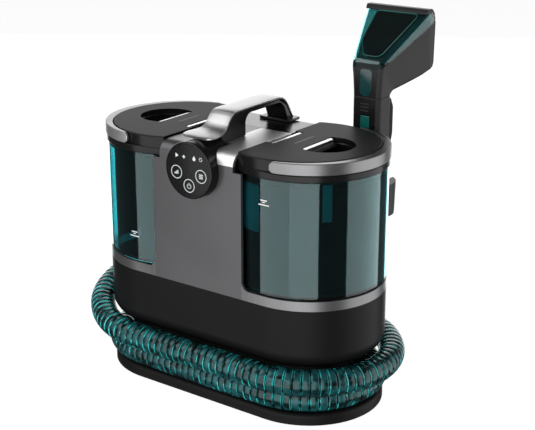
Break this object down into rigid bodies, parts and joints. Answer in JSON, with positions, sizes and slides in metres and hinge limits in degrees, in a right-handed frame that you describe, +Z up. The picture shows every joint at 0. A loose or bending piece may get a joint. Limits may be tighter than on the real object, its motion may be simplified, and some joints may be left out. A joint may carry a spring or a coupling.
{
  "type": "carpet cleaner",
  "caption": "Portable carpet cleaner: oval base wrapped by its suction hose, two lift-out tanks with latched lids, carrying handle, round touch control and a docked hand tool.",
  "frame": {"origin": "on the surface that the machine stands on, under the middle of the oval body", "axes": "+Z up, +X to the right of someone facing the control disc, so the front is -Y"},
  "size_m": [0.4077, 0.2935, 0.426],
  "materials": {
    "black_shell": "satin moulded black",
    "black_gloss": "polished black",
    "silver_shell": "brushed silver lacquer",
    "lid_grey": "satin dark grey",
    "bright_trim": "brushed bright",
    "handle_silver": "satin brushed",
    "tank_tint": "clear teal tint",
    "hose_tint": "ribbed teal, translucent",
    "cover_tint": "clear teal tint",
    "teal_button": "bright teal",
    "tool_grey": "satin graphite",
    "touch_glass": "polished black glass",
    "rubber_black": "matte",
    "steel_bright": "bright",
    "motor_steel": "zinc grey",
    "motor_core": "laminations and copper winding",
    "white_plastic": "natural nylon",
    "board_green": "solder mask",
    "foam_grey": "open-cell foam",
    "float_white": "foamed",
    "bristle_black": "nylon bristle strips"
  },
  "bodies": {
    "machine": {"foot_ring": "rubber_black", "base_tray": "black_shell", "main_casing": "black_shell", "casing_screws": "steel_bright", "cord_gland": "rubber_black", "tank_deck": "black_shell", "valve_socket": "black_shell", "silver_bezel": "silver_shell", "column_shell": "black_gloss", "exhaust_grille": "black_shell", "exhaust_filter": "foam_grey", "pod_housing": "black_gloss", "pod_glass": "touch_glass", "touch_board": "board_green", "handle_core": "black_gloss", "handle_skin": "handle_silver", "handle_screws": "steel_bright", "motor_case": "motor_steel", "motor_plate": "motor_steel", "motor_stator": "motor_core", "motor_bearings": "steel_bright", "motor_mounts": "rubber_black", "air_duct": "black_shell", "port_seal": "rubber_black", "water_pump": "white_plastic", "pump_spring": "steel_bright", "power_board": "board_green", "supply_tube": "rubber_black", "hose": "hose_tint", "hose_port": "black_shell", "tool_dock": "tool_grey"},
    "dirty_tank": {"dirty_tank_shell": "tank_tint", "separator": "black_shell", "float_cage": "black_shell"},
    "clean_tank": {"clean_tank_shell": "tank_tint", "clean_strainer": "black_shell", "valve_spring": "steel_bright"},
    "dirty_lid": {"dirty_lid": "lid_grey", "dirty_lid_trim": "bright_trim", "dirty_grip_bar": "bright_trim", "dirty_lid_seal": "rubber_black"},
    "clean_lid": {"clean_lid": "lid_grey", "clean_lid_trim": "bright_trim", "clean_grip_bar": "bright_trim", "clean_lid_seal": "rubber_black"},
    "dirty_latch": {"dirty_latch": "bright_trim"},
    "clean_latch": {"clean_latch": "bright_trim"},
    "tank_float": {"float_ball": "float_white"},
    "outlet_valve": {"clean_valve": "rubber_black"},
    "fan": {"fan_rotor": "steel_bright"},
    "plunger": {"pump_plunger": "steel_bright"},
    "tool": {"tool_cuff": "black_shell", "tool_grip": "tool_grey", "trigger_pin": "steel_bright"},
    "trigger": {"tool_trigger": "black_shell"},
    "release_button": {"tool_button": "teal_button"},
    "tool_head": {"head_shell": "tool_grey", "head_cover": "cover_tint", "head_brush": "bristle_black"}
  },
  "joints": [
    {"name": "dirty_tank_lift", "type": "slide", "parent": "machine", "child": "dirty_tank", "axis": [0, 0, 1], "range_m": [0, 0.14]},
    {"name": "clean_tank_lift", "type": "slide", "parent": "machine", "child": "clean_tank", "axis": [0, 0, 1], "range_m": [0, 0.14]},
    {"name": "dirty_lid_lift", "type": "slide", "parent": "dirty_tank", "child": "dirty_lid", "axis": [0, 0, 1], "range_m": [0, 0.03]},
    {"name": "clean_lid_lift", "type": "slide", "parent": "clean_tank", "child": "clean_lid", "axis": [0, 0, 1], "range_m": [0, 0.03]},
    {"name": "dirty_latch_press", "type": "slide", "parent": "dirty_lid", "child": "dirty_latch", "axis": [0, 0, -1], "range_m": [0, 0.003], "stiffness_N_per_m": 600, "springref_m": -0.002},
    {"name": "clean_latch_press", "type": "slide", "parent": "clean_lid", "child": "clean_latch", "axis": [0, 0, -1], "range_m": [0, 0.003], "stiffness_N_per_m": 600, "springref_m": -0.002},
    {"name": "float_rise", "type": "slide", "parent": "dirty_tank", "child": "tank_float", "axis": [0, 0, 1], "range_m": [0, 0.022]},
    {"name": "outlet_valve_open", "type": "slide", "parent": "clean_tank", "child": "outlet_valve", "axis": [0, 0, 1], "range_m": [0, 0.003], "stiffness_N_per_m": 300, "springref_m": -0.002, "deforming": ["valve_spring"]},
    {"name": "fan_spin", "type": "hinge", "parent": "machine", "child": "fan", "pos_m": [0, 0.01, 0.2], "axis": [0, 0, 1], "continuous": true},
    {"name": "pump_stroke", "type": "slide", "parent": "machine", "child": "plunger", "axis": [0, 0, 1], "range_m": [-0.002, 0.004], "stiffness_N_per_m": 500, "deforming": ["pump_spring"]},
    {"name": "tool_lift", "type": "slide", "parent": "machine", "child": "tool", "axis": [0, 0, 1], "range_m": [0, 0.06]},
    {"name": "trigger_pull", "type": "hinge", "parent": "tool", "child": "trigger", "pos_m": [0.1002, 0.119, 0.322], "axis": [-1, 0, 0], "range_deg": [0, 6], "stiffness_Nm_per_rad": 0.6, "springref_deg": -11.46},
    {"name": "release_button_press", "type": "slide", "parent": "tool", "child": "release_button", "axis": [0, 1, 0], "range_m": [0, 0.002], "stiffness_N_per_m": 600, "springref_m": -0.002},
    {"name": "tool_head_pull", "type": "slide", "parent": "tool", "child": "tool_head", "axis": [0, 0, 1], "range_m": [0, 0.035]}
  ]
}
